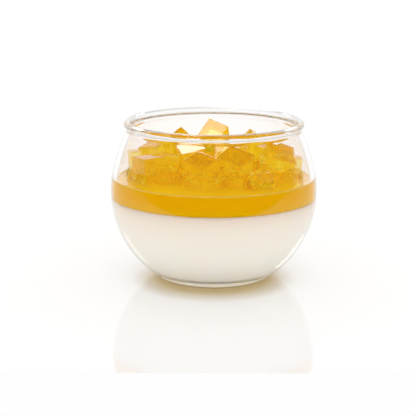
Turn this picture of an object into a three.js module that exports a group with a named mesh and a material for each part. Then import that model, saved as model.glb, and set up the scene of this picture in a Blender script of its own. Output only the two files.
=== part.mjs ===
// Panna cotta served in a round dessert glass.
//
// From the table up: a clear globe-shaped glass with a thick floor and a rolled rim, set cream that
// fills its lower half, a layer of clear orange jelly poured level on the cream, and a loose heap of
// hand-cut jelly cubes that lie on the jelly and rise to just under the rim.
//
// Millimetres, +Z up. The origin is the centre of the foot, on the table.

import * as THREE from "three";
import { RoundedBoxGeometry } from "three/addons/geometries/RoundedBoxGeometry.js";

const { degToRad } = THREE.MathUtils;

// The glass, outside.
const GLOBE_RADIUS = 41;                    // of the globe, at its widest
const GLOBE_CENTRE = 34.5;                  // height of the widest level
const SHOULDER_RADIUS = 65.5;               // flatter arc that leads from the globe in to the mouth
const SHOULDER_START = degToRad(12.4);      // where that arc takes over, above the widest level
const FOOT_ROUNDING = 5;                    // between the globe and the flat ring it stands on
const PUNT_RADIUS = 13;                     // shallow hollow pressed into the underside
const PUNT_DEPTH = 0.8;

// The glass, its thickness and its rim.
const WALL = 2;
const FLOOR = 3;
const FLOOR_ROUNDING = 6;                   // inside corner between floor and wall
const MOUTH_RADIUS = 34.3;                  // centre line of the rolled rim
const RIM_ROLL = 1.4;                       // half the thickness of the roll
const RIM_LEVEL = 61.1;                     // height of the roll's centre line

// The food.
const CREAM_LEVEL = 32.2;                   // top of the set cream
const JELLY_LEVEL = 39.3;                   // top of the poured jelly
const GAP = 0.3;                            // kept between pieces that touch

// The cut jelly cubes.
const CUT_EDGE = 0.6;                       // softened edge of a cut piece
const CUT_LEAN = 0.09;                      // most that a corner is cut inwards, as a share of the side
const CUT_SEED = 20;

const AROUND = 64;                          // facets round the glass and the food
const ARC_STEP = degToRad(9);               // longest facet of an arc seen in section
const SAME_POINT = 1e-6;                    // points of a section closer than this are one point

// A section is a list of (radius, height) points, turned about the upright axis.
const point = (radius, height) => new THREE.Vector2(radius, height);

// Points along a circular arc in the section, at most ARC_STEP apart, with both its ends.
function arc(centre, radius, from, to) {
  const steps = Math.max(1, Math.ceil(Math.abs(to - from) / ARC_STEP));
  return Array.from({ length: steps + 1 }, (_, i) => {
    const angle = from + ((to - from) * i) / steps;
    return point(centre.x + radius * Math.cos(angle), centre.y + radius * Math.sin(angle));
  });
}

const GLOBE = point(0, GLOBE_CENTRE);

// The shoulder's centre lies on the line from the joint through the globe's centre, so that the two
// arcs meet without a corner.
const SHOULDER = point(
  (GLOBE_RADIUS - SHOULDER_RADIUS) * Math.cos(SHOULDER_START),
  GLOBE_CENTRE + (GLOBE_RADIUS - SHOULDER_RADIUS) * Math.sin(SHOULDER_START),
);

// Rounded corner between a level floor and the globe's side, and the angle where it meets that side.
// inset is how far the surface lies inside the outside of the glass.
function floorCorner(level, rounding, inset) {
  const centreHeight = level + rounding;
  const reach = GLOBE_RADIUS - inset - rounding;
  const drop = GLOBE_CENTRE - centreHeight;
  const centre = point(Math.sqrt(reach ** 2 - drop ** 2), centreHeight);
  const side = Math.atan2(-drop, centre.x);
  return { points: arc(centre, rounding, -Math.PI / 2, side), side };
}

// Side of the globe between two angles above its widest level.
const globeSide = (inset, from, to) => arc(GLOBE, GLOBE_RADIUS - inset, from, to);

// The same with a point on the widest level itself, so that the glass measures its full width there.
const globeSideOverWidest = (inset, from, to) => [
  ...globeSide(inset, from, 0),
  ...globeSide(inset, 0, to),
];

// Shoulder, from the joint up to a given height.
function shoulderSide(inset, height) {
  const radius = SHOULDER_RADIUS - inset;
  return arc(SHOULDER, radius, SHOULDER_START, Math.asin((height - SHOULDER.y) / radius));
}

// Angle on the globe's side at a given height.
const globeAngle = (inset, height) => Math.asin((height - GLOBE_CENTRE) / (GLOBE_RADIUS - inset));

// Solid of revolution from a section that runs outwards from the axis and back to it.
function turned(section) {
  const distinct = section.filter((p, i) => i === 0 || p.distanceTo(section[i - 1]) > SAME_POINT);
  return new THREE.LatheGeometry(distinct, AROUND).rotateX(Math.PI / 2);
}

// One closed wall: the underside, the outside, over the rim, and down the inside to the floor.
function glassGeometry() {
  const foot = floorCorner(0, FOOT_ROUNDING, 0);
  const inside = floorCorner(FLOOR, FLOOR_ROUNDING, WALL);
  const neck = RIM_LEVEL - RIM_ROLL;
  const rim = point(MOUTH_RADIUS, RIM_LEVEL);
  const outside = shoulderSide(0, neck);
  const neckAngle = Math.atan2(-RIM_ROLL, outside.at(-1).x - MOUTH_RADIUS);
  return turned([
    point(0, PUNT_DEPTH),
    point(PUNT_RADIUS - PUNT_DEPTH, PUNT_DEPTH),
    point(PUNT_RADIUS, 0),
    ...foot.points,
    ...globeSideOverWidest(0, foot.side, SHOULDER_START),
    ...outside.slice(0, -1),
    ...arc(rim, RIM_ROLL, neckAngle, Math.PI),
    ...shoulderSide(WALL, neck - RIM_ROLL).reverse(),
    ...globeSideOverWidest(WALL, SHOULDER_START, inside.side),
    ...inside.points.reverse(),
    point(0, FLOOR),
  ]);
}

// Set cream: it takes the form of the glass up to its level top.
function creamGeometry() {
  const inset = WALL + GAP;
  const foot = floorCorner(FLOOR + GAP, FLOOR_ROUNDING - GAP, inset);
  return turned([
    point(0, FLOOR + GAP),
    ...foot.points,
    ...globeSide(inset, foot.side, globeAngle(inset, CREAM_LEVEL)),
    point(0, CREAM_LEVEL),
  ]);
}

// Poured jelly: a level disc with the globe's curve round its edge.
function jellyLayerGeometry() {
  const inset = WALL + GAP;
  const bottom = CREAM_LEVEL + GAP;
  return turned([
    point(0, bottom),
    ...globeSide(inset, globeAngle(inset, bottom), globeAngle(inset, JELLY_LEVEL)),
    point(0, JELLY_LEVEL),
  ]);
}

// Repeatable random numbers from 0 to 1, so that the cubes are cut the same way each time. Each
// number is the last one times a fixed factor, wrapped at a large prime.
const RANDOM_FACTOR = 16807;
const RANDOM_PRIME = 2 ** 31 - 1;

function seededRandom(seed) {
  let state = seed;
  return () => {
    state = (state * RANDOM_FACTOR) % RANDOM_PRIME;
    return state / RANDOM_PRIME;
  };
}

// A cube cut by hand: a box with softened edges whose corners each lean in by their own amount. Every
// point moves by the mean of its eight corners' leans, weighted by how near it is to each of them.
function cutCubeGeometry(size, random) {
  const geometry = new RoundedBoxGeometry(...size, 1, CUT_EDGE);
  const half = new THREE.Vector3(...size).divideScalar(2);
  const leans = Array.from({ length: 8 }, () => {
    return new THREE.Vector3(random(), random(), random()).multiplyScalar(CUT_LEAN);
  });
  const position = geometry.getAttribute("position");
  const vertex = new THREE.Vector3();
  const shrink = new THREE.Vector3();
  for (let i = 0; i < position.count; i += 1) {
    vertex.fromBufferAttribute(position, i);
    shrink.set(0, 0, 0);
    leans.forEach((lean, corner) => {
      const nearX = (1 + (corner & 1 ? 1 : -1) * (vertex.x / half.x)) / 2;
      const nearY = (1 + (corner & 2 ? 1 : -1) * (vertex.y / half.y)) / 2;
      const nearZ = (1 + (corner & 4 ? 1 : -1) * (vertex.z / half.z)) / 2;
      shrink.addScaledVector(lean, nearX * nearY * nearZ);
    });
    vertex.multiply(shrink.multiplyScalar(-2).addScalar(1));
    position.setXYZ(i, ...vertex);
  }
  geometry.computeVertexNormals();
  return geometry;
}

// The heap. Each cube has its centre, its length, width and height, and its turn in degrees, first
// about X, then about Y, then about the upright axis.
const CUBES = {
  // Along the front, lying on the jelly, from left to right.
  far_left: { at: [-31.6, 1.4, 45], size: [5, 8, 10], turn: [2, -5, 14] },
  front_left: { at: [-22.5, -9, 45.3], size: [15.5, 11, 9.5], turn: [-4, -4, 29] },
  front_middle: { at: [-4.4, -20.2, 46.6], size: [11.5, 9.5, 9], turn: [22, 10, -45] },
  front_right: { at: [8.2, -16, 47.5], size: [12, 10.5, 8.5], turn: [19, 11, -32] },
  front_chip: { at: [18.2, -20.2, 42.9], size: [7, 6.5, 6], turn: [0, -4, 30] },
  right: { at: [24.6, -7, 47.6], size: [11.5, 10.5, 9], turn: [35, 15, 25] },
  far_right: { at: [32.4, 1.8, 43.9], size: [5.5, 8, 8], turn: [1, 4, -8] },

  // Across the middle, tall ones that lean on each other.
  middle_far_left: { at: [-22.4, 7.6, 47], size: [12, 10.5, 10.5], turn: [12, -8, -38] },
  middle_left: { at: [-9, -4.8, 47.3], size: [10, 9.5, 12], turn: [14, -8, 22] },
  middle_right: { at: [4.7, -1.2, 47.3], size: [10, 9, 12], turn: [-10, 12, -24] },
  middle_far_right: { at: [16.8, 4.3, 47.2], size: [10, 9.5, 11], turn: [10, 18, 12] },

  // Small offcuts, low between the others.
  offcut_front: { at: [-1.9, -10, 42.4], size: [4.5, 4.5, 5], turn: [0, 5, -30] },
  offcut_right: { at: [13.3, -5.9, 43.5], size: [6.5, 6, 7], turn: [4, -3, 20] },
  offcut_left: { at: [-12.6, 4, 42.7], size: [4, 4.5, 6], turn: [0, 0, 30] },
  offcut_middle: { at: [6.5, 7.7, 43.4], size: [5, 6, 7], turn: [5, 0, 15] },
  offcut_back: { at: [-5.2, 8.6, 42.6], size: [8, 7.5, 5.5], turn: [3, 0, 20] },
  offcut_far_left: { at: [-30.7, 13.1, 43], size: [5.5, 5, 6], turn: [0, 8, 25] },

  // Round the back, lying on the jelly, from left to right.
  back_far_left: { at: [-24.8, 21.1, 44.8], size: [7.5, 7, 7.5], turn: [15, 10, 40] },
  back_left: { at: [-14.7, 25.4, 45.5], size: [10, 9, 8.5], turn: [-14, 8, 15] },
  back_wall_left: { at: [-6, 31.8, 43.1], size: [7, 6.5, 6.5], turn: [0, -3, -5] },
  back_middle: { at: [1.8, 22.1, 45.7], size: [11, 10, 9], turn: [-12, 6, -20] },
  back_wall_right: { at: [5.4, 32.6, 43.1], size: [6.5, 6, 6], turn: [4, 4, 10] },
  back_right: { at: [13.9, 27.1, 45.5], size: [9.5, 8, 8.5], turn: [-16, -8, -35] },
  back_wall_far_right: { at: [23, 22.9, 43.9], size: [7, 6.5, 6.5], turn: [10, -8, -15] },
  back_far_right: { at: [27.9, 13.7, 45.2], size: [9, 9, 8.5], turn: [6, -12, 35] },

  // On top, corners up, each in a hollow between others.
  top_left: { at: [-12, 14.8, 50], size: [10, 9, 7.5], turn: [-30, -50, -122] },
  top_middle: { at: [0.3, 11.7, 53.3], size: [11, 10, 9], turn: [25, 45, 80] },
  top_right: { at: [15.3, 15.5, 50.3], size: [9, 9, 8.5], turn: [-2, -39, 12] },
};

const clearGlass = new THREE.MeshStandardMaterial({
  color: 0xf6f6f3,
  roughness: 0.04,
  transparent: true,
  opacity: 0.35,
});
const setCream = new THREE.MeshStandardMaterial({ color: 0xf0eadd, roughness: 0.45 });
const orangeJelly = new THREE.MeshStandardMaterial({ color: 0xe2a404, roughness: 0.12 });

function named(name, geometry, material) {
  const mesh = new THREE.Mesh(geometry, material);
  mesh.name = name;
  return mesh;
}

function cubeHeap() {
  const heap = new THREE.Group();
  const random = seededRandom(CUT_SEED);
  for (const [place, cube] of Object.entries(CUBES)) {
    const mesh = named(`jelly_cube_${place}`, cutCubeGeometry(cube.size, random), orangeJelly);
    mesh.position.set(...cube.at);
    mesh.rotation.set(...cube.turn.map(degToRad), "ZYX");
    heap.add(mesh);
  }
  return heap;
}

const dessert = new THREE.Group();
dessert.add(named("glass_bowl", glassGeometry(), clearGlass));
dessert.add(named("panna_cotta", creamGeometry(), setCream));
dessert.add(named("jelly_layer", jellyLayerGeometry(), orangeJelly));
dessert.add(cubeHeap());

export default dessert;
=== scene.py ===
# %% [markdown]
# # Panna cotta in its glass
#
# This lesson dresses a dessert: set cream and clear orange jelly in a round glass, with a heap of cut
# jelly cubes on top. The construction is already there as a fixed frame of plain solids. Each step below
# takes one piece of the real thing, says what it is made of and how light meets it, and builds it as a
# fine surface worked out from a few sizes.
#
# Everything is in metres, with the centre of the glass's foot at the origin and +Z up.

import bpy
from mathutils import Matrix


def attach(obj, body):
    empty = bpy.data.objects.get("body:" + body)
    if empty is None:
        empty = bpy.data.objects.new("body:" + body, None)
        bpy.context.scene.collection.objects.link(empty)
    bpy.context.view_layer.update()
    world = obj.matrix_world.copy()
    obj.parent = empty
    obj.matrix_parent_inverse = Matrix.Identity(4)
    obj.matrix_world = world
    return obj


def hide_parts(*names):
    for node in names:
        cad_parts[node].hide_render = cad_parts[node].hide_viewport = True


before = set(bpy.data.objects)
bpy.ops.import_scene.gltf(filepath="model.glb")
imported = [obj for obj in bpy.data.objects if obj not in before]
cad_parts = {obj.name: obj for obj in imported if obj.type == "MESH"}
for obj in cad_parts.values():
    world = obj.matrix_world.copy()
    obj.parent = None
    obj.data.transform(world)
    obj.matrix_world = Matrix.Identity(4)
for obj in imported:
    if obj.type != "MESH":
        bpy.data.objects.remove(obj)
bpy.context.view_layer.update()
print("solids in the frame:", len(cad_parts))

# %% [markdown]
# ## Tools
#
# numpy works out whole surfaces at once, which is short to write and quick to run. Sizes are written in
# millimetres, as a maker would measure them, and turned into metres by one factor.

# %% Tools for numbers and meshes
from math import asin, atan2, cos, pi, radians, sin, sqrt

import bpy
import numpy as np
from mathutils import Euler, Vector

MM = 0.001
WHITE = (1.0, 1.0, 1.0, 1.0)
scene = bpy.context.scene
print("one millimetre is", MM, "units")

# %% [markdown]
# ## Camera
#
# A dessert this small is best seen through a long lens from about half a metre, a little above the rim,
# so that the far rim shows over the near one. The camera looks at a point inside the glass, and that
# point is moved a little to the side, which frames the glass without any lens shift.

# %% Camera
CAMERA_DISTANCE = 537.4 * MM
CAMERA_ELEVATION = radians(12.98)
CAMERA_ROLL = radians(0.19)
LENS_MM = 116.25
SENSOR_MM = 36.0
LOOK_AT = Vector((-2.26 * MM, 0, 26.88 * MM))
CLIP = (0.01, 20.0)

camera_data = bpy.data.cameras.new("camera")
camera_data.lens = LENS_MM
camera_data.sensor_width = SENSOR_MM
camera_data.clip_start, camera_data.clip_end = CLIP
camera = bpy.data.objects.new("camera", camera_data)
scene.collection.objects.link(camera)
backwards = Vector((0, -cos(CAMERA_ELEVATION), sin(CAMERA_ELEVATION)))
camera.location = LOOK_AT + CAMERA_DISTANCE * backwards
camera.rotation_euler = (
    backwards.to_track_quat("Z", "Y").to_matrix() @ Euler((0, 0, CAMERA_ROLL)).to_matrix()
).to_euler()
scene.camera = camera
print("camera stands", round(camera.location.z / MM), "mm above the table")

# %% [markdown]
# ## From a grid of points to a mesh
#
# Nearly everything here is a surface over two parameters, so one helper turns arrays of points and of
# faces into a piece. It rides on the glass's body and stands for its solid in the frame.


# %% A piece from arrays
def make_piece(name, points, faces, replaced, slot):
    """A smooth-shaded mesh from points (n, 3) and faces (lists of point numbers), in place of a solid."""
    mesh = bpy.data.meshes.new(name)
    mesh.from_pydata(np.asarray(points, float).tolist(), [], [list(face) for face in faces])
    mesh.polygons.foreach_set("use_smooth", np.ones(len(mesh.polygons), bool))
    mesh.update()
    piece = bpy.data.objects.new(name, mesh)
    scene.collection.objects.link(piece)
    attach(piece, "root")
    if replaced:
        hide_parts(*replaced)
    return piece


def grid_faces(rows, columns):
    """Quads between neighbours of a (rows, columns) grid whose last column joins its first."""
    row, column = np.meshgrid(np.arange(rows - 1), np.arange(columns), indexing="ij")
    right = (column + 1) % columns
    lower, upper = row * columns, (row + 1) * columns
    quads = [lower + column, lower + right, upper + right, upper + column]
    return np.stack(quads, axis=-1).reshape(-1, 4)


# %% [markdown]
# ## Turned surfaces
#
# The glass, the cream and the jelly poured on it are all turned shapes. A turned shape is a section, a
# line of (radius, height) points from the axis out and back to the axis, carried once round the upright
# axis. Blender's Screw modifier would turn it too, but with arrays the jelly's ripples can be added on
# the way. The ends on the axis become single points with a fan of triangles, so that no hole is left.

# %% Turned piece
AROUND = 240


def turned(section, ripple=None):
    """Points (radius cos a, radius sin a, height) for each angle a, and their faces.

    ripple(x, y, z) may give each point a small change of height."""
    section = np.asarray(section, float)
    inner = section[1:-1]
    angle = np.linspace(0, 2 * pi, AROUND, endpoint=False)
    x = inner[:, :1] * np.cos(angle)
    y = inner[:, :1] * np.sin(angle)
    z = np.repeat(inner[:, 1:], AROUND, axis=1)
    points = np.stack([x, y, z], axis=-1).reshape(-1, 3)
    ends = np.array([[0, 0, section[0, 1]], [0, 0, section[-1, 1]]])
    if ripple is not None:
        points[:, 2] += ripple(*points.T)
        ends[:, 2] += ripple(*ends.T)
    first, last = len(points), len(points) + 1
    column = np.arange(AROUND)
    following = (column + 1) % AROUND
    top_row = (len(inner) - 1) * AROUND
    start_fan = np.stack([np.full(AROUND, first), following, column], axis=-1)
    end_fan = np.stack([top_row + column, top_row + following, np.full(AROUND, last)], axis=-1)
    faces = [*grid_faces(len(inner), AROUND).tolist(), *start_fan.tolist(), *end_fan.tolist()]
    return np.vstack([points, ends]), faces


# %% Runs of a section
SAME_POINT = 1e-7


def arc(centre, radius, start, end, step=radians(2.5)):
    """Points centre + radius (cos a, sin a) for angles a from start to end, at most step apart."""
    count = max(2, int(np.ceil(abs(end - start) / step)) + 1)
    angle = np.linspace(start, end, count)
    return np.stack([centre[0] + radius * np.cos(angle), centre[1] + radius * np.sin(angle)], axis=-1)


def straight(start, end, count):
    """Points evenly spaced from start to end, both ends included."""
    return np.linspace(np.asarray(start, float), np.asarray(end, float), count)


def joined(*runs):
    """One section from runs of points, without the points that two runs share."""
    section = np.vstack(runs)
    keep = np.append(True, np.linalg.norm(np.diff(section, axis=0), axis=1) > SAME_POINT)
    return section[keep]


# %% [markdown]
# ## The glass
#
# A small dessert glass is pressed and fire-polished. Its side is nearly a globe, its shoulder is a
# flatter arc that leads in to the mouth, and the rim is rolled into a bead that is thicker than the wall.
# It stands on a flat ring round a shallow hollow. Every bend is an arc that meets its neighbour without a
# corner, because a refracting surface shows the smallest kink as a line.

# %% Sizes of the glass
GLOBE_RADIUS = 41 * MM
GLOBE_CENTRE = 34.5 * MM
SHOULDER_RADIUS = 65.5 * MM
SHOULDER_START = radians(12.4)
FOOT_ROUNDING = 5 * MM
PUNT_RADIUS = 13 * MM
PUNT_DEPTH = 0.8 * MM
WALL = 2 * MM
FLOOR = 4 * MM
FLOOR_ROUNDING = 6 * MM
MOUTH_RADIUS = 34.3 * MM
RIM_ROLL = 1.4 * MM
RIM_LEVEL = 61.1 * MM

PUNT_STEPS = 8
FLOOR_STEPS = 10
GLOBE = (0.0, GLOBE_CENTRE)
SHOULDER = (
    (GLOBE_RADIUS - SHOULDER_RADIUS) * cos(SHOULDER_START),
    GLOBE_CENTRE + (GLOBE_RADIUS - SHOULDER_RADIUS) * sin(SHOULDER_START),
)
print("glass, mm:", round(2 * GLOBE_RADIUS / MM), "wide,", round((RIM_LEVEL + RIM_ROLL) / MM, 1), "tall")


# %% Glass section
def floor_corner(level, rounding, inset):
    """Arc between a level floor and the globe's side, and the globe's angle where they meet."""
    height = level + rounding
    reach = GLOBE_RADIUS - inset - rounding
    drop = GLOBE_CENTRE - height
    centre = (sqrt(reach**2 - drop**2), height)
    side = atan2(-drop, centre[0])
    return arc(centre, rounding, -pi / 2, side), side


def globe_side(inset, start, end):
    """The globe's side between two of its angles."""
    return arc(GLOBE, GLOBE_RADIUS - inset, start, end, step=radians(1.5))


def shoulder_side(inset, height):
    """The shoulder from its joint with the globe up to a height."""
    radius = SHOULDER_RADIUS - inset
    return arc(SHOULDER, radius, SHOULDER_START, asin((height - SHOULDER[1]) / radius), step=radians(1))


def glass_section():
    """Underside, outside, rolled rim and inside of the glass, from the axis back to the axis."""
    foot, foot_side = floor_corner(0, FOOT_ROUNDING, 0)
    inside, inside_side = floor_corner(FLOOR, FLOOR_ROUNDING, WALL)
    neck = RIM_LEVEL - RIM_ROLL
    outside = shoulder_side(0, neck)
    neck_angle = atan2(-RIM_ROLL, outside[-1, 0] - MOUTH_RADIUS)
    punt_side = arc((PUNT_RADIUS, PUNT_DEPTH), PUNT_DEPTH, pi, 3 * pi / 2, step=radians(15))
    return joined(
        straight((0, PUNT_DEPTH), (PUNT_RADIUS - PUNT_DEPTH, PUNT_DEPTH), PUNT_STEPS),
        punt_side,
        foot,
        globe_side(0, foot_side, SHOULDER_START),
        outside[:-1],
        arc((MOUTH_RADIUS, RIM_LEVEL), RIM_ROLL, neck_angle, pi, step=radians(8)),
        shoulder_side(WALL, neck - RIM_ROLL)[::-1],
        globe_side(WALL, SHOULDER_START, inside_side),
        inside[::-1],
        straight((inside[0, 0], FLOOR), (0, FLOOR), FLOOR_STEPS),
    )


glass = make_piece("glass", *turned(glass_section()), ["glass_bowl"], "clear_glass")
print("glass:", len(glass.data.polygons), "faces")

# %% [markdown]
# ## The cream
#
# Panna cotta sets in the glass, so it takes the glass's form and leaves no air between. Its solid in the
# frame keeps a small gap to the wall. Here the surface reaches a hair's breadth into the wall, and the
# cream then shows right out to the glass's edge, magnified by the wall, as it does in a real glass.

# %% Cream
INTO_WALL = 0.08 * MM
FOOD_INSET = WALL - INTO_WALL
CREAM_LEVEL = 32.35 * MM
CREAM_TOP_STEPS = 30


def globe_angle(inset, height):
    """The globe's angle at a height."""
    return asin((height - GLOBE_CENTRE) / (GLOBE_RADIUS - inset))


def cream_section():
    """Floor, rounded corner and side of the cream up to its level top."""
    corner, side = floor_corner(FLOOR - INTO_WALL, FLOOR_ROUNDING + INTO_WALL, FOOD_INSET)
    edge = globe_side(FOOD_INSET, side, globe_angle(FOOD_INSET, CREAM_LEVEL))
    return joined(
        straight((0, FLOOR - INTO_WALL), corner[0], FLOOR_STEPS),
        corner,
        edge,
        straight(edge[-1], (0, CREAM_LEVEL), CREAM_TOP_STEPS),
    )


cream = make_piece("cream", *turned(cream_section()), ["panna_cotta"], "set_cream")
print("cream:", len(cream.data.polygons), "faces")

# %% [markdown]
# ## Where the cubes lie
#
# The cubes are cut by hand from a set sheet, so no two sides are parallel and the edges are soft. Each
# one keeps the place, size and lean of its solid in the frame. The solid's twelve largest triangles are
# its six sides, each side gives a plane, and three planes meet in each of the eight corners. The planes
# are found first, because the jelly under the heap has to know where the cubes are.

# %% Planes of a cut solid
SIDE_TRIANGLES = 12
ALIKE = 0.9


def side_planes(solid):
    """Unit normals (6, 3) and offsets (6,) of the solid's sides, from its twelve largest triangles."""
    mesh = solid.data
    mesh.calc_loop_triangles()
    corners = np.array([mesh.vertices[i].co for t in mesh.loop_triangles for i in t.vertices], float)
    corners = corners.reshape(-1, 3, 3)
    area = np.cross(corners[:, 1] - corners[:, 0], corners[:, 2] - corners[:, 0]) / 2
    size = np.linalg.norm(area, axis=1)
    largest = np.argsort(size)[-SIDE_TRIANGLES:]
    area, middle, size = area[largest], corners[largest].mean(axis=1), size[largest]
    unit = area / size[:, None]
    normals, offsets, left = [], [], list(range(SIDE_TRIANGLES))
    while left:
        alike = [i for i in left if unit[i] @ unit[left[0]] > ALIKE]
        normal = area[alike].sum(axis=0)
        normal /= np.linalg.norm(normal)
        normals.append(normal)
        offsets.append(np.average(middle[alike] @ normal, weights=size[alike]))
        left = [i for i in left if i not in alike]
    return np.array(normals), np.array(offsets)


# %% Sides of every cube
WET_CONTACT = 0.18 * MM
CUBE_NODES = sorted(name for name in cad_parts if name.startswith("jelly_cube_"))
sides = []
for node in CUBE_NODES:
    normals, offsets = side_planes(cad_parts[node])
    sides.append((normals, offsets + WET_CONTACT))
print("cubes in the heap:", len(sides))

# %% [markdown]
# ## The poured jelly
#
# The first jelly is poured on the set cream, so it lies level and is welded to it. Its underside here
# goes a little way into the cream. Against the glass, the jelly creeps up in a small curve, a meniscus,
# which catches the light as a bright line. Its top isn't quite flat, since it set while it was moved:
# three long, low waves that cross each other are enough for that.

# %% Section and ripple of the poured jelly
JELLY_LEVEL = 39.45 * MM
MENISCUS_HEIGHT = 0.7 * MM
MENISCUS_WIDTH = 0.9 * MM
INTO_CREAM = 0.15 * MM
UNDERSIDE_STEPS = 20
TOP_STEPS = 130
TOP_SPREAD = 1.3
RIPPLE_HEIGHT = 0.05 * MM
RIPPLE_LENGTH = 9 * MM
# Each wave's direction, share and shift.
RIPPLE_WAVES = ((0.4, 1.0, 0.3), (1.5, 0.7, 1.9), (2.7, 0.8, 4.1))


def jelly_section():
    """Underside, side and top. The top stands level + rise e^(-distance to the wall / width)."""
    bottom = CREAM_LEVEL - INTO_CREAM
    top = JELLY_LEVEL + MENISCUS_HEIGHT
    start = globe_angle(FOOD_INSET, bottom)
    edge = globe_side(FOOD_INSET, start, globe_angle(FOOD_INSET, top))
    reach = edge[-1, 0] * (1 - np.linspace(0, 1, TOP_STEPS) ** TOP_SPREAD)
    rise = MENISCUS_HEIGHT * np.exp(-(edge[-1, 0] - reach) / MENISCUS_WIDTH)
    surface = np.stack([reach, JELLY_LEVEL + rise], axis=-1)[1:]
    return joined(straight((0, bottom), edge[0], UNDERSIDE_STEPS), edge, surface)


def surface_ripple(x, y, z):
    """Sum of crossing sine waves of RIPPLE_LENGTH on what lies above the middle of the jelly."""
    waves = 0.0
    for turn, share, shift in RIPPLE_WAVES:
        waves = waves + share * np.sin(2 * pi / RIPPLE_LENGTH * (x * cos(turn) + y * sin(turn)) + shift)
    return np.where(z > JELLY_LEVEL - RIPPLE_HEIGHT, RIPPLE_HEIGHT * waves / 2, 0.0)


# %% [markdown]
# ## The jelly round the feet of the cubes
#
# The cubes were set down in jelly that was still half liquid. It rose into the low gaps under them and
# set there, and so the heap's foot is one mass of jelly with the poured layer. A separate filler would
# show a seam, so the layer's own top is lifted instead: under a cube it fills a low gap up to the cube's
# underside, leaves a high one empty, and slopes down outside the cube.

# %% Rise of the jelly
FILM_GAPS = (3.0 * MM, 7.5 * MM)
FILM_SLOPE = 2.5
FILM_BLUR = 0.9 * MM
FILM_RING = 8


def smooth(share):
    """Smooth step: 3 share^2 - 2 share^3, level at 0 and at 1."""
    return share * share * (3 - 2 * share)


def underside(x, y, solid):
    """Height at which an upright line through (x, y) enters the solid, and infinity where it misses."""
    normals, offsets = solid
    free = offsets[:, None] - normals[:, :1] * x - normals[:, 1:2] * y
    height = free / normals[:, 2:]
    enters = np.where(normals[:, 2:] < 0, height, -np.inf).max(axis=0)
    leaves = np.where(normals[:, 2:] > 0, height, np.inf).min(axis=0)
    return np.where(enters < leaves, enters, np.inf)


def film_under(x, y):
    """Rise of the jelly below a cube: all of the gap up to the first of FILM_GAPS, none at the second."""
    gap = np.min([underside(x, y, solid) for solid in sides], axis=0) - JELLY_LEVEL
    gap = np.clip(gap, 0, FILM_GAPS[1])
    share = np.clip((FILM_GAPS[1] - gap) / (FILM_GAPS[1] - FILM_GAPS[0]), 0, 1)
    return gap * smooth(share)


def film(x, y):
    """film_under, let down outside the cube at FILM_SLOPE and averaged over a ring of FILM_BLUR."""
    highest = film_under(x, y)
    total = highest
    ring = np.linspace(0, 2 * pi, FILM_RING, endpoint=False)
    for share in (0.5, 1.0):
        for turn in ring:
            near = film_under(x + share * FILM_BLUR * cos(turn), y + share * FILM_BLUR * sin(turn))
            highest = np.maximum(highest, near - FILM_SLOPE * share * FILM_BLUR)
            total = total + near
    return np.maximum(highest, total / (2 * len(ring) + 1))


# %% Jelly layer
LIP_WIDTHS = 4


def jelly_top(x, y, z):
    """Change of height of the jelly's points: the ripple, and the film where the surface is level."""
    rippled = surface_ripple(x, y, z)
    inner = np.hypot(x, y) < GLOBE_RADIUS - WALL - LIP_WIDTHS * MENISCUS_WIDTH
    return np.where((z > JELLY_LEVEL - RIPPLE_HEIGHT) & inner, np.maximum(rippled, film(x, y)), rippled)


jelly_layer = make_piece(
    "jelly_poured", *turned(jelly_section(), jelly_top), ["jelly_layer"], "orange_jelly"
)
print("jelly layer:", len(jelly_layer.data.polygons), "faces")

# %% [markdown]
# ## The cut cubes
#
# A knife leaves a cube of jelly with a soft edge and sides that are never quite flat. A Bevel modifier
# would round the edge, but the sides need their own points for the ripple. So each cube is a box in its
# own coordinates, with rows of points in its rounded edges, spread between the eight corners of its
# solid and moved a little along its normals by a few seeded waves.

# %% Corners of a cut solid
ENDS = (2, 2, 2)


def solid_corners(solid, grow):
    """The eight corners (2, 2, 2, 3) of the solid, its sides moved out by grow, in a right-handed order."""
    normals, offsets = side_planes(solid)
    offsets = offsets + grow
    left, pairs = list(range(6)), []
    while left:
        one = left.pop(0)
        other = min(left, key=lambda i: normals[i] @ normals[one])
        left.remove(other)
        pairs.append((other, one))
    across = [normals[high] - normals[low] for low, high in pairs]
    if np.linalg.det(across) < 0:
        pairs[0] = pairs[0][::-1]
    corners = np.zeros((*ENDS, 3))
    for index in np.ndindex(ENDS):
        chosen = [pairs[axis][end] for axis, end in enumerate(index)]
        corners[index] = np.linalg.solve(normals[chosen], offsets[chosen])
    return corners


# %% Surface of a box
CUT_EDGE = 0.3 * MM
FLAT_STEPS = 14
EDGE_STEPS = 4
MERGE_DIGITS = 4


def edge_spacing(length):
    """Places along a side of a length: even between the rounded edges, and evenly turned in them."""
    flat = length / 2 - CUT_EDGE
    rounded = CUT_EDGE * np.tan(np.linspace(0, pi / 4, EDGE_STEPS + 1)[1:])
    return np.concatenate([-(flat + rounded)[::-1], np.linspace(-flat, flat, FLAT_STEPS), flat + rounded])


def cube_surface(size):
    """Merged points on the surface of a box of a size, and the quads of its six sides."""
    points, faces, count = [], [], 0
    for axis in range(3):
        first, second = (axis + 1) % 3, (axis + 2) % 3
        u, v = edge_spacing(size[first]), edge_spacing(size[second])
        for end in (-1, 1):
            side = np.zeros((len(u), len(v), 3))
            side[..., axis] = end * size[axis] / 2
            side[..., first] = u[:, None]
            side[..., second] = v[None, :]
            number = count + np.arange(len(u) * len(v)).reshape(len(u), len(v))
            quads = np.stack([number[:-1, :-1], number[1:, :-1], number[1:, 1:], number[:-1, 1:]], axis=-1)
            faces.append(quads.reshape(-1, 4)[:, :: end])
            points.append(side.reshape(-1, 3))
            count += side.shape[0] * side.shape[1]
    points, faces = np.vstack(points), np.vstack(faces)
    places = np.round(points / MM, MERGE_DIGITS)
    _, kept, number = np.unique(places, axis=0, return_index=True, return_inverse=True)
    return points[kept], number.reshape(-1)[faces]


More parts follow.
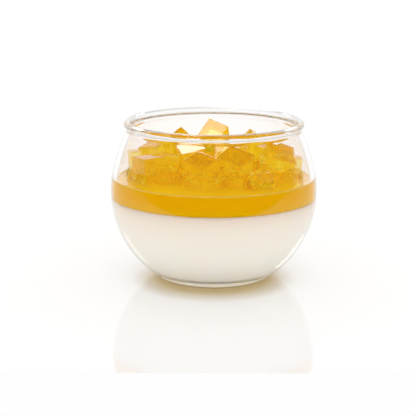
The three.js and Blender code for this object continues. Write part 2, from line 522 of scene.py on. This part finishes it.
# %% Rounded, rippled cube
CUT_RIPPLE = 0.03 * MM
CUT_RIPPLE_LENGTHS = (3.1 * MM, 4.7 * MM, 7.9 * MM)
WAVES_PER_LENGTH = 2


def cut_waves(points, random):
    """Mean of seeded sine waves, WAVES_PER_LENGTH of each length, at the points."""
    waves = np.zeros(len(points))
    for length in CUT_RIPPLE_LENGTHS:
        for _ in range(WAVES_PER_LENGTH):
            way = random.normal(size=3)
            way *= 2 * pi / length / np.linalg.norm(way)
            waves += np.sin(points @ way + random.uniform(0, 2 * pi))
    return waves / (WAVES_PER_LENGTH * len(CUT_RIPPLE_LENGTHS))


def cut_cube(corners, random):
    """Rounded box of the corners' mean lengths, spread between the corners, moved along its normals by
    CUT_RIPPLE times the waves."""
    edges = [np.diff(corners, axis=axis).reshape(-1, 3) for axis in range(3)]
    size = np.array([np.linalg.norm(edge, axis=1).mean() for edge in edges])
    flat_points, faces = cube_surface(size)
    core = np.clip(flat_points, CUT_EDGE - size / 2, size / 2 - CUT_EDGE)
    outward = flat_points - core
    outward /= np.linalg.norm(outward, axis=1)[:, None]
    rounded = core + CUT_EDGE * outward
    waves = cut_waves(rounded, random)
    share = rounded / size + 0.5
    points = np.zeros_like(rounded)
    for index in np.ndindex(ENDS):
        weight = np.prod([share[:, a] if end else 1 - share[:, a] for a, end in enumerate(index)], axis=0)
        points += weight[:, None] * corners[index]
    axes = np.array([edge.mean(axis=0) for edge in edges])
    axes /= np.linalg.norm(axes, axis=1)[:, None]
    return points + (CUT_RIPPLE * waves)[:, None] * (outward @ axes), faces


# %% All the cubes of the heap
CUT_SEED = 7
cut_random = np.random.default_rng(CUT_SEED)
cubes = []
for node in CUBE_NODES:
    corners = solid_corners(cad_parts[node], WET_CONTACT)
    points, faces = cut_cube(corners, cut_random)
    cubes.append(make_piece(node.replace("jelly_cube", "cube"), points, faces, [node], "orange_jelly"))
print("cubes:", len(cubes), "with", sum(len(cube.data.polygons) for cube in cubes), "faces")

# %% [markdown]
# ## The crumbs between the cubes
#
# Cutting jelly leaves crumbs, and a spoon that heaps the cubes presses them into the gaps. They stand in
# rough layers between the cubes and on the poured jelly, and it's their many small sides that glitter.
# Each is a small box with its corners moved, and all of them are one mesh, since there are many and each
# shows only a corner or a side. A lattice with seeded jitter fills the gaps more evenly than free chance.

# %% Crumbs
CRUMB_SEED = 11
CRUMB_STEP = 3.6 * MM
CRUMB_LAYER = 0.8
CRUMB_SIZES = (2.0 * MM, 4.4 * MM)
CRUMB_SKEW = 0.12
CRUMB_START = 0.3 * MM
CRUMB_TOP = 8.5 * MM
CRUMB_NEAR = (-0.2 * MM, 1.6 * MM)
CRUMB_REACH = 29.5 * MM
CRUMB_SUNK = 0.8 * MM
BOX_CORNERS = np.array([(x, y, z) for x in (-0.5, 0.5) for y in (-0.5, 0.5) for z in (-0.5, 0.5)])
BOX_SIDES = np.array([(0, 1, 3, 2), (4, 6, 7, 5), (0, 4, 5, 1), (2, 3, 7, 6), (0, 2, 6, 4), (1, 5, 7, 3)])


def depth_in(points, solids):
    """Distance of each point to the nearest of the solids, below zero inside one."""
    nearest = np.full(len(points), np.inf)
    for normals, offsets in solids:
        nearest = np.minimum(nearest, (points @ normals.T - offsets).max(axis=1))
    return nearest


def crumb_places(random):
    """Jittered lattice points above the poured jelly that lie close to a cube but not in one, fewer
    with height."""
    across = np.arange(-CRUMB_REACH, CRUMB_REACH, CRUMB_STEP)
    heights = np.arange(JELLY_LEVEL + CRUMB_START, JELLY_LEVEL + CRUMB_TOP, CRUMB_STEP * CRUMB_LAYER)
    places = np.stack(np.meshgrid(across, across, heights, indexing="ij"), axis=-1).reshape(-1, 3)
    places = places + random.uniform(-0.5, 0.5, places.shape) * CRUMB_STEP
    places[:, 2] = np.maximum(places[:, 2], JELLY_LEVEL)
    near = depth_in(places, sides)
    high = (places[:, 2] - JELLY_LEVEL) / CRUMB_TOP
    kept = (near > CRUMB_NEAR[0]) & (near < CRUMB_NEAR[1])
    kept &= np.hypot(places[:, 0], places[:, 1]) < CRUMB_REACH
    kept &= random.uniform(0, 1, len(places)) > high**2
    return places[kept]


def crumb_mesh(places, random):
    """For each place a box with its own three sizes, its corners moved a little and turned at random."""
    count = len(places)
    size = random.uniform(*CRUMB_SIZES, (count, 1, 3))
    shaped = (BOX_CORNERS[None] + random.uniform(-CRUMB_SKEW, CRUMB_SKEW, (count, 8, 3))) * size
    turn = np.linalg.qr(random.normal(size=(count, 3, 3)))[0]
    turn *= np.sign(np.linalg.det(turn))[:, None, None]
    points = places[:, None, :] + shaped @ turn
    faces = BOX_SIDES[None] + 8 * np.arange(count)[:, None, None]
    return points.reshape(-1, 3), faces.reshape(-1, 4)


crumb_random = np.random.default_rng(CRUMB_SEED)
crumb_points, crumb_faces = crumb_mesh(crumb_places(crumb_random), crumb_random)
crumb_points[:, 2] = np.maximum(crumb_points[:, 2], JELLY_LEVEL - CRUMB_SUNK)
crumbs = make_piece("crumbs", crumb_points, crumb_faces, [], "orange_jelly")
crumbs.data.polygons.foreach_set("use_smooth", np.zeros(len(crumb_faces), bool))
print("crumbs:", len(crumb_faces) // len(BOX_SIDES))

# %% [markdown]
# ## Where jelly touches jelly
#
# Where two cubes press together, or a cube sits on the poured jelly, their wet skins join and light goes
# straight through. Where a little air is left between them, the skins mirror it. Joining the meshes would
# lose the separate cubes, so every point of the jelly carries a number instead, its wetness: 1 where it
# touches other jelly and 0 where it meets the air. The finish reads it and stops bending the light there.

# %% Wetness
WET_REACH = (0.25 * MM, 0.6 * MM)
WET_ABOVE_FILM = 3 * MM
DOWNWARD = (2.0, 0.6)
WET_CRUMB_FOOT = 0.6 * MM
WET_WALL = 0.25 * MM
WET_LEVEL = JELLY_LEVEL - 3 * RIPPLE_HEIGHT


def points_of(piece):
    """The piece's points as an array (n, 3)."""
    flat = np.empty(3 * len(piece.data.vertices))
    piece.data.vertices.foreach_get("co", flat)
    return flat.reshape(-1, 3)


def wetness(points, others):
    """1 within the first reach of another solid, falling smoothly to 0 at the second."""
    nearest = depth_in(points, others)
    return smooth(np.clip((WET_REACH[1] - nearest) / (WET_REACH[1] - WET_REACH[0]), 0, 1))


def wet_underside(cube, points):
    """Share of the sides that look down, slope times the drop of the normal less a start, close over
    the jelly round the cube's foot."""
    above = points[:, 2] - JELLY_LEVEL - film(points[:, 0], points[:, 1])
    close = np.clip((WET_REACH[1] + WET_ABOVE_FILM - above) / (WET_REACH[1] - WET_REACH[0]), 0, 1)
    facing = np.empty(3 * len(points))
    cube.data.vertices.foreach_get("normal", facing)
    return close * np.clip(-DOWNWARD[0] * facing.reshape(-1, 3)[:, 2] - DOWNWARD[1], 0, 1)


def set_wetness(piece, values):
    """Stores the values as the piece's point attribute "wet"."""
    layer = piece.data.attributes.new("wet", "FLOAT", "POINT")
    layer.data.foreach_set("value", np.asarray(values, np.float32))


# %% Wetness of every piece of jelly
for number, cube in enumerate(cubes):
    points = points_of(cube)
    wet = wetness(points, sides[:number] + sides[number + 1 :])
    set_wetness(cube, np.maximum(wet, wet_underside(cube, points)))

crumb_foot = np.clip((JELLY_LEVEL + WET_CRUMB_FOOT - crumb_points[:, 2]) / WET_CRUMB_FOOT, 0, 1)
crumb_wet = np.maximum(wetness(crumb_points, sides), crumb_foot)
set_wetness(crumbs, np.maximum(crumb_wet, crumb_random.uniform(0.0, 1.0, len(crumb_wet))))

layer_points = points_of(jelly_layer)
against_others = layer_points[:, 2] < WET_LEVEL
against_others |= np.hypot(layer_points[:, 0], layer_points[:, 1]) > GLOBE_RADIUS - WALL - WET_WALL
set_wetness(jelly_layer, np.maximum(against_others, wetness(layer_points, sides)))
print("wet points of the poured jelly:", int(against_others.sum()), "of", len(layer_points))

# %% [markdown]
# ## Materials
#
# Each finish is a small graph of nodes. A few helpers keep the graphs short: one starts a material, one
# adds a node with its inputs set or linked, and the others are the nodes that come back again and again.


# %% Node helpers
def new_material(name):
    """The tree of an empty node material, its output node, and its object coordinates."""
    material = bpy.data.materials.new(name)
    material.use_nodes = True
    tree = material.node_tree
    tree.nodes.clear()
    output = tree.nodes.new("ShaderNodeOutputMaterial")
    return material, tree, output, add_node(tree, "TexCoord").outputs["Object"]


def put(tree, socket, value):
    """Links the value to the socket where it is a socket itself, and sets it where it is a number."""
    if isinstance(value, bpy.types.NodeSocket):
        tree.links.new(value, socket)
    else:
        socket.default_value = value


def add_node(tree, kind, operation=None, *values, **inputs):
    """A node of a kind. The values go to its inputs in their order, the others by name."""
    node = tree.nodes.new("ShaderNode" + kind)
    if operation:
        node.operation = operation
    for socket, value in zip(node.inputs, values):
        put(tree, socket, value)
    for name, value in inputs.items():
        put(tree, node.inputs[name.replace("_", " ")], value)
    return node


def calculated(tree, operation, *values):
    """The result of a Math node."""
    return add_node(tree, "Math", operation, *values).outputs[0]


def measured(tree, operation, *vectors):
    """The number that a Vector Math node gives: a dot product, a distance or a length."""
    return add_node(tree, "VectorMath", operation, *vectors).outputs["Value"]


def spread(tree, value, start, end, low=0.0, high=1.0):
    """low where the value is at start or before it, high at end or beyond, and straight in between."""
    return add_node(tree, "MapRange", None, value, start, end, low, high).outputs[0]


def mixed(tree, share, low, high):
    """low where the share is 0, high where it is 1."""
    return spread(tree, share, 0.0, 1.0, low, high)


def tinted(tree, share, low, high):
    """The colour low where the share is 0, high where it is 1."""
    mix = tree.nodes.new("ShaderNodeMix")
    mix.data_type = "RGBA"
    for number, value in ((0, share), (6, low), (7, high)):
        put(tree, mix.inputs[number], value)
    return mix.outputs[2]


def wear(pieces, material):
    """Gives every piece the material as its only one."""
    for piece in pieces:
        piece.data.materials.clear()
        piece.data.materials.append(material)


# %% [markdown]
# ## Clear glass
#
# Soda glass lets light travel at two thirds of its speed in air and takes hardly any of it. From the
# front it is invisible, and its outline shows only where the eye grazes the wall and looks through a
# long way of glass. A soft white studio would wash that line out, so a painted shade draws it: towards
# the grazing edge, the glass turns a little grey and less clear. On the rolled rim that painted shade
# starts sooner, and on the crown of the rim at once. Near the foot it stops. There, glass gathers the
# light of the white table and glows, and a painted glow stands for that: a milky, warm share in the
# lowest millimetres.

# %% Edges and foot of the glass
# Painted shade: the glass turns grey and less clear towards its outline, sooner on the rim, at once on its
# crown.
LIMB_SHADE_TINT = (0.56, 0.54, 0.51, 1.0)
LIMB_START = (0.72, 0.4)
LIMB_SHADE_SHARE = 0.85
LIMB_FOOT = (4 * MM, 9 * MM)
RIM_ZONE = (57.5 * MM, 59.5 * MM)
CROWN_ZONE = (61.6 * MM, 62.2 * MM)
CROWN_START = 0.0
# Painted glow: a milky, warm share of the lowest millimetres of the glass stands for the light the foot
# gathers from the table.
FOOT_ZONE = (2.4 * MM, 3.2 * MM)
FOOT_GLOW_SHARE = 0.92
FOOT_GLOW_TINT = (0.98, 0.93, 0.82, 1.0)


def glass_edges(tree, place):
    """Colour and clearness of the glass, with a painted shade at the outline and a painted glow at the
    foot.
    The share of painted grey runs from 0, where Facing is at a start that falls with height, to 1 at the
    outline, and the foot's share of painted glow is taken off the clearness."""
    height = add_node(tree, "SeparateXYZ", Vector=place).outputs["Z"]
    start = mixed(tree, spread(tree, height, *RIM_ZONE), *LIMB_START)
    start = spread(tree, height, *CROWN_ZONE, start, CROWN_START)
    facing = add_node(tree, "LayerWeight", Blend=0.5).outputs["Facing"]
    # Painted shade: the grey share grows towards the outline.
    grazing = spread(tree, facing, start, 1.0, 0.0, spread(tree, height, *LIMB_FOOT))
    # Painted glow of the foot: a milky, warm share near the table.
    milk_and_glow = spread(tree, height, *FOOT_ZONE, FOOT_GLOW_SHARE, 0.0)
    colour = tinted(tree, milk_and_glow, tinted(tree, grazing, WHITE, LIMB_SHADE_TINT), FOOT_GLOW_TINT)
    clearness = mixed(tree, grazing, 1.0, 1.0 - LIMB_SHADE_SHARE)
    return colour, calculated(tree, "SUBTRACT", clearness, milk_and_glow)


# %% Glass material
GLASS_IOR = 1.5
JELLY_IOR = 1.37
SKIN_DEPTH = 0.2 * MM


def glass_material(name, ior):
    """Clear glass that bends light by ior against what it touches, with faint, slow waves in its skin."""
    material, tree, output, place = new_material(name)
    waves = add_node(tree, "TexNoise", Vector=place, Scale=90.0, Detail=1.0)
    skin = add_node(tree, "Bump", Strength=0.05, Distance=SKIN_DEPTH, Height=waves.outputs["Fac"])
    colour, clearness = glass_edges(tree, place)
    clear = add_node(
        tree,
        "BsdfPrincipled",
        Base_Color=colour,
        Roughness=0.0,
        IOR=ior,
        Transmission_Weight=clearness,
        Normal=skin.outputs["Normal"],
    )
    put(tree, output.inputs["Surface"], clear.outputs[0])
    return material


# %% [markdown]
# ## Glass against food
#
# Light that leaves the wall into jelly or cream bends much less than light that leaves it into air, and
# it is hardly mirrored there. The food reaches just into the wall, so the wall's inside skin is where
# the two meet. Its faces below the top of the jelly wear a second glass, whose bend is the ratio of
# glass to jelly.

# %% Faces of the glass in the food
LEVEL_NORMAL = 0.99


def inside_food(piece):
    """True for each face of the piece that lies on the inside of the wall, below the top of the jelly."""
    count = len(piece.data.polygons)
    centre, normal = np.empty(count * 3), np.empty(count * 3)
    piece.data.polygons.foreach_get("center", centre)
    piece.data.polygons.foreach_get("normal", normal)
    centre, normal = centre.reshape(-1, 3), normal.reshape(-1, 3)
    facing_axis = (normal[:, :2] * centre[:, :2]).sum(axis=1) < 0
    on_floor = (normal[:, 2] > LEVEL_NORMAL) & (np.abs(centre[:, 2] - FLOOR) < MM)
    return (facing_axis | on_floor) & (centre[:, 2] < JELLY_LEVEL) & (centre[:, 2] > FLOOR - MM / 2)


wear([glass], glass_material("clear_glass", GLASS_IOR))
glass.data.materials.append(glass_material("glass_against_food", GLASS_IOR / JELLY_IOR))
glass.data.polygons.foreach_set("material_index", inside_food(glass).astype(np.int32))
print("glass faces in the food:", int(inside_food(glass).sum()))

# %% [markdown]
# ## Set cream
#
# Cream is white because light wanders in it among drops of fat and comes out again a little warmer. A
# plain white paint would look like plaster. Subsurface scattering over some millimetres lets the light
# run on under the skin and softens the shade. Faint, broad changes of tone keep it from looking moulded.

# %% Cream material
CREAM_TONES = ((0.965, 0.935, 0.875, 1), (0.98, 0.955, 0.90, 1))
cream_material, tree, output, place = new_material("set_cream")
mottle = add_node(tree, "TexNoise", Vector=place, Scale=120.0, Detail=3.0)
milk_and_glow = add_node(
    tree,
    "BsdfPrincipled",
    Base_Color=tinted(tree, mottle.outputs["Fac"], *CREAM_TONES),
    Roughness=0.5,
    Subsurface_Weight=0.6,
    Subsurface_Radius=(1.0, 0.8, 0.5),
    Subsurface_Scale=8 * MM,
    Specular_IOR_Level=0.1,
)
put(tree, output.inputs["Surface"], milk_and_glow.outputs[0])
wear([cream], cream_material)
print("cream wanders by", round(milk_and_glow.inputs["Subsurface Scale"].default_value / MM), "mm")

# %% [markdown]
# ## Orange jelly
#
# The jelly is juice set clear. What gives it its colour is depth: each millimetre takes out a share of
# the blue and a little of the green, so a thin corner is pale and a thick heap is deep gold. A colour on
# the surface alone can't do that, so the inside of the mesh is a volume that absorbs light. In the cubes
# a little pulp spreads the light as well, as a thin haze.

# %% Skin and depth of the jelly
TAKEN_PER_METRE = np.array((0.5, 11.0, 165.0))
ABSORPTION = 360.0
CLEAR_TINT = (1.0, 1.0, 0.98, 1.0)
CUBE_HAZE = 72.0
HAZE_COLOUR = (1.0, 0.91, 0.09, 1.0)


def jelly_skin(tree, place):
    """Bend of the light, from JELLY_IOR in the air to 1 where the jelly is wet by its neighbour, and the
    normal of a finely marked cut."""
    wet = add_node(tree, "Attribute")
    wet.attribute_name = "wet"
    bend = mixed(tree, wet.outputs["Fac"], JELLY_IOR, 1.0)
    fine = add_node(tree, "TexNoise", Vector=place, Scale=420.0, Detail=2.0)
    cut = add_node(tree, "Bump", Strength=0.05, Distance=SKIN_DEPTH, Height=fine.outputs["Fac"])
    return bend, cut.outputs["Normal"]


def clear_jelly(tree, bend, normal):
    """The clear surface, and a volume that takes TAKEN_PER_METRE = density x (1 - colour) of the light."""
    clear = add_node(
        tree,
        "BsdfPrincipled",
        Base_Color=CLEAR_TINT,
        Roughness=0.0,
        IOR=bend,
        Transmission_Weight=1.0,
        Normal=normal,
    )
    colour = (*(1 - TAKEN_PER_METRE / ABSORPTION), 1.0)
    depth = add_node(tree, "VolumeAbsorption", Color=colour, Density=ABSORPTION)
    return clear.outputs[0], depth.outputs[0]


# %% Jelly of the cubes and the crumbs
cube_jelly, tree, output, place = new_material("jelly_of_cubes")
clear, depth = clear_jelly(tree, *jelly_skin(tree, place))
pulp = add_node(tree, "VolumeScatter", Color=HAZE_COLOUR, Density=CUBE_HAZE, Anisotropy=0.5)
inside = add_node(tree, "AddShader", None, depth, pulp.outputs[0])
put(tree, output.inputs["Surface"], clear)
put(tree, output.inputs["Volume"], inside.outputs[0])
wear([*cubes, crumbs], cube_jelly)
print("light left after a centimetre:", np.round(np.exp(-TAKEN_PER_METRE * 10 * MM), 2))

# %% [markdown]
# ## The poured layer's cloud
#
# The poured jelly lies between the glass and the white cream, and it looks nearly opaque there: an even,
# deep orange band. Most of its finish is therefore a cloudy skin with a short subsurface reach, and the
# rest is the clear jelly. At the wall, the thin lip of the meniscus has hardly any depth and catches the
# light as a bright line, so a painted highlight turns the cloud's colour pale above the level of the
# jelly and close to the wall.

# %% Jelly of the poured layer
LAYER_CLOUD = 0.9
CLOUD_COLOUR = (0.94, 0.57, 0.002, 1.0)
# Painted highlight: the meniscus lip at the wall is coloured pale for the bright line it catches and its
# thin depth.
LIP_HIGHLIGHT_COLOUR = (0.97, 0.66, 0.16, 1.0)
LIP_HIGHLIGHT_HEIGHTS = (JELLY_LEVEL + 0.1 * MM, JELLY_LEVEL + 0.5 * MM)
LIP_HIGHLIGHT_RADII = (GLOBE_RADIUS - WALL - 2 * MENISCUS_WIDTH, GLOBE_RADIUS - WALL - MENISCUS_WIDTH)

layer_jelly, tree, output, place = new_material("jelly_of_layer")
bend, normal = jelly_skin(tree, place)
clear, depth = clear_jelly(tree, bend, normal)
height = add_node(tree, "SeparateXYZ", Vector=place).outputs["Z"]
flattened = add_node(tree, "VectorMath", "MULTIPLY", place, (1.0, 1.0, 0.0)).outputs[0]
# Painted highlight on the lip: pale above the jelly's level and close to the wall.
lip_highlight = spread(tree, height, *LIP_HIGHLIGHT_HEIGHTS)
lip_highlight = spread(tree, measured(tree, "LENGTH", flattened), *LIP_HIGHLIGHT_RADII, 0.0, lip_highlight)
cloud = add_node(
    tree,
    "BsdfPrincipled",
    Base_Color=tinted(tree, lip_highlight, CLOUD_COLOUR, LIP_HIGHLIGHT_COLOUR),
    Roughness=0.1,
    IOR=bend,
    Subsurface_Weight=0.3,
    Subsurface_Radius=(1.0, 0.6, 0.1),
    Subsurface_Scale=4 * MM,
    Normal=normal,
)
both = add_node(tree, "MixShader", None, LAYER_CLOUD, clear, cloud.outputs[0])
put(tree, output.inputs["Surface"], both.outputs[0])
put(tree, output.inputs["Volume"], depth)
wear([jelly_layer], layer_jelly)
print("cloud in the poured layer:", LAYER_CLOUD)

# %% [markdown]
# ## The table
#
# The glass stands on a white, glossy board. The board mirrors it faintly, and under the foot the light
# that came through the jelly and the cream leaves a tan shade. A path tracer finds such light very
# slowly through clear glass, so the shade is part of the board's finish: a soft round patch, a little in
# front of the foot. Only what looks at the board sees it. For light that has already been scattered the
# board stays white, or it would darken the cream's underside.

# %% Floor
FLOOR_FRONT = 118 * MM
FLOOR_REACH = 6.0
FLOOR_TONE = (0.93, 0.93, 0.93, 1)
SHADE_CENTRE = (0.0, -7 * MM, 0.0)
SHADE_REACH = (19 * MM, 35 * MM)
SHADE_TONE = (0.53, 0.395, 0.17, 1)

floor_corners = [
    (-FLOOR_REACH, -FLOOR_FRONT, 0),
    (FLOOR_REACH, -FLOOR_FRONT, 0),
    (FLOOR_REACH, FLOOR_REACH, 0),
    (-FLOOR_REACH, FLOOR_REACH, 0),
]
floor_mesh = bpy.data.meshes.new("floor")
floor_mesh.from_pydata(floor_corners, [], [(0, 1, 2, 3)])
floor = bpy.data.objects.new("floor", floor_mesh)
scene.collection.objects.link(floor)

floor_material, tree, output, place = new_material("white_board")
away = measured(tree, "DISTANCE", place, SHADE_CENTRE)
lighter = add_node(tree, "MapRange", None, away, *SHADE_REACH)
lighter.interpolation_type = "SMOOTHSTEP"
kind_of_ray = add_node(tree, "LightPath")
plain = calculated(tree, "MAXIMUM", lighter.outputs[0], kind_of_ray.outputs["Diffuse Depth"])
board = add_node(
    tree,
    "BsdfPrincipled",
    Base_Color=tinted(tree, plain, SHADE_TONE, FLOOR_TONE),
    Roughness=0.04,
    Specular_IOR_Level=0.4,
)
put(tree, output.inputs["Surface"], board.outputs[0])
wear([floor], floor_material)
print("board reaches", round(FLOOR_FRONT / MM), "mm in front of the glass")

# %% [markdown]
# ## The light
#
# The room is a bright, soft studio: white all round, a little stronger overhead and weaker at the sides.
# That lights the cream and the table well, but clear things lit from every side lose their form. A
# studio sets dark cards and bright boxes where only the glass and the jelly mirror them. Here the world
# does that. It asks what a ray has met before it reached the sky:
#
# - a ray from the camera sees the plain backdrop;
# - a ray that was scattered by cream, table or pulp sees the soft light;
# - a ray that only went through clear things sees white behind, and darker cards in front and overhead;
# - a ray that was mirrored sees much the same, and the bright boxes as well.
#
# The number of times that a ray passed a clear skin tells where it was mirrored: 0 on the outside, 2 on
# the inside of the wall or off a cube above the rim, 4 off a cube behind the wall, and 5 or more inside
# a cube. Light in a cube never falls quite to black, and what is dark turns a warm tone, because real
# jelly hands the light on.

# %% Values of the light
BACKDROP = 0.991
SOFT_LIGHT = (0.98, 1.16)
SIDE_LOSS = 0.07
THROUGH = {"back": 0.89, "front": 0.1, "top": 0.3}
BOUNCED = {"back": 1.12, "front": 0.0, "top": 0.1}
THIN_FRONT = (0.2, 0.7)
SIDE_FALL = (-0.95, -0.1)
OVERHEAD = (0.35, 0.6)
OUTSIDE_STEEP = (0.38, 0.46)
OUTSIDE_SHINE = 0.5
IN_JELLY_FLOOR = 0.55
DARK_TONE = (1.0, 0.66, 0.3, 1.0)
DARK_RANGE = (0.95, 0.68)
DARK_SHARE = (0.35, 1.0)
# Each box's turn from the back, height, half width, radiance, and whether only a cube mirrors it.
SOFTBOXES = (
    (radians(-7.5), radians(43.5), radians(8), 9.0, False),
    (radians(27), radians(30), radians(7), 25.0, False),
    (radians(-32), radians(32), radians(7), 25.0, False),
    (radians(-47), radians(1), radians(6), 5.0, True),
    (radians(-143), radians(8), radians(5), 16.0, True),
    (radians(-121), radians(71.5), radians(9), 9.0, False),
)
BOX_CORE = 0.8
SKINS_OF_WALL = 2.0
SKINS_OFF_CUBE = 4.0
HALF = 0.5

# %% What the ray has met
world = bpy.data.worlds.new("studio")
world.use_nodes = True
world.cycles.sampling_method = "NONE"
scene.world = world
sky = world.node_tree
sky.nodes.clear()

path = sky.nodes.new("ShaderNodeLightPath").outputs
skins, mirrors = path["Transmission Depth"], path["Glossy Depth"]
outside = calculated(sky, "LESS_THAN", skins, HALF)
in_wall = calculated(sky, "COMPARE", skins, SKINS_OF_WALL, HALF)
shallow = calculated(sky, "LESS_THAN", skins, SKINS_OF_WALL + HALF)
off_cube = calculated(sky, "COMPARE", skins, SKINS_OFF_CUBE, HALF)
in_jelly = calculated(sky, "GREATER_THAN", skins, SKINS_OFF_CUBE + HALF)
mirrored_twice = calculated(sky, "GREATER_THAN", mirrors, 1.0 + HALF)
scattered = calculated(sky, "SUBTRACT", path["Ray Depth"], calculated(sky, "ADD", mirrors, skins))
scattered = calculated(sky, "SUBTRACT", scattered, 1.0)

# %% Where the ray goes
direction = add_node(sky, "TexCoord").outputs["Generated"]
towards_front = measured(sky, "DOT_PRODUCT", direction, (0.0, -1.0, 0.0))
upwards = measured(sky, "DOT_PRODUCT", direction, (0.0, 0.0, 1.0))
sideways = calculated(sky, "ABSOLUTE", measured(sky, "DOT_PRODUCT", direction, (1.0, 0.0, 0.0)))
in_front = spread(sky, towards_front, *SIDE_FALL)
overhead = spread(sky, upwards, *OVERHEAD)
steep = spread(sky, upwards, *OUTSIDE_STEEP)

# %% Light through and off clear things
clear_front = mixed(sky, in_jelly, THROUGH["back"], THROUGH["front"])
through = mixed(sky, in_front, THROUGH["back"], clear_front)
through = calculated(sky, "MULTIPLY", through, mixed(sky, overhead, 1.0, THROUGH["top"]))
dark_front = mixed(sky, in_wall, BOUNCED["front"], mixed(sky, mirrored_twice, *THIN_FRONT))
bounced = mixed(sky, in_front, BOUNCED["back"], dark_front)
bounced = calculated(sky, "MULTIPLY", bounced, mixed(sky, overhead, 1.0, BOUNCED["top"]))
off_outside = calculated(sky, "MULTIPLY", outside, steep)
bounced = calculated(sky, "MULTIPLY", bounced, mixed(sky, off_outside, 1.0, OUTSIDE_SHINE))
for turn, height, half_width, radiance, cube_only in SOFTBOXES:
    way = (sin(turn) * cos(height), cos(turn) * cos(height), sin(height))
    towards = measured(sky, "DOT_PRODUCT", direction, way)
    box = spread(sky, towards, cos(half_width), cos(BOX_CORE * half_width), 0.0, radiance)
    box = calculated(sky, "MULTIPLY", box, off_cube if cube_only else shallow)
    bounced = calculated(sky, "ADD", bounced, box)
clear = mixed(sky, mirrors, through, bounced)
clear = calculated(sky, "MAXIMUM", clear, calculated(sky, "MULTIPLY", in_jelly, IN_JELLY_FLOOR))
print("bright boxes:", len(SOFTBOXES))

# %% Soft light, backdrop and tone
soft = calculated(
    sky, "MULTIPLY", mixed(sky, upwards, *SOFT_LIGHT), mixed(sky, sideways, 1.0, 1.0 - SIDE_LOSS)
)
around = mixed(sky, scattered, clear, soft)
strength = mixed(sky, path["Is Camera Ray"], around, BACKDROP)
dark = spread(sky, strength, *DARK_RANGE)
dark = calculated(sky, "MULTIPLY", dark, mixed(sky, in_jelly, *DARK_SHARE))
light = add_node(sky, "Background", Color=tinted(sky, dark, WHITE, DARK_TONE), Strength=strength)
put(sky, add_node(sky, "OutputWorld").inputs["Surface"], light.outputs[0])
print("nodes in the world:", len(sky.nodes))

# %% [markdown]
# ## Colour and light paths
#
# A white dessert on a white table needs its tones as they are, so the view keeps the plain standard
# curve. Light crosses many skins in a heap of clear cubes before it comes out, and a path that is cut
# short turns black. The limits are therefore high, and nothing blurs the mirrored light on its way.

# %% Colour and light paths
scene.view_settings.view_transform = "Standard"
scene.view_settings.look = "None"
scene.cycles.max_bounces = 128
scene.cycles.transmission_bounces = 128
scene.cycles.glossy_bounces = 64
scene.cycles.diffuse_bounces = 16
scene.cycles.volume_bounces = 12
scene.cycles.transparent_max_bounces = 16
scene.cycles.blur_glossy = 0.0
print("a path may pass", scene.cycles.transmission_bounces, "skins")

# %% [markdown]
# ## Last step
#
# The fine pieces stay inside the box of the plain solids. The lesson ends by bringing the scene's
# placements up to date.

# %% Update
bpy.context.view_layer.update()
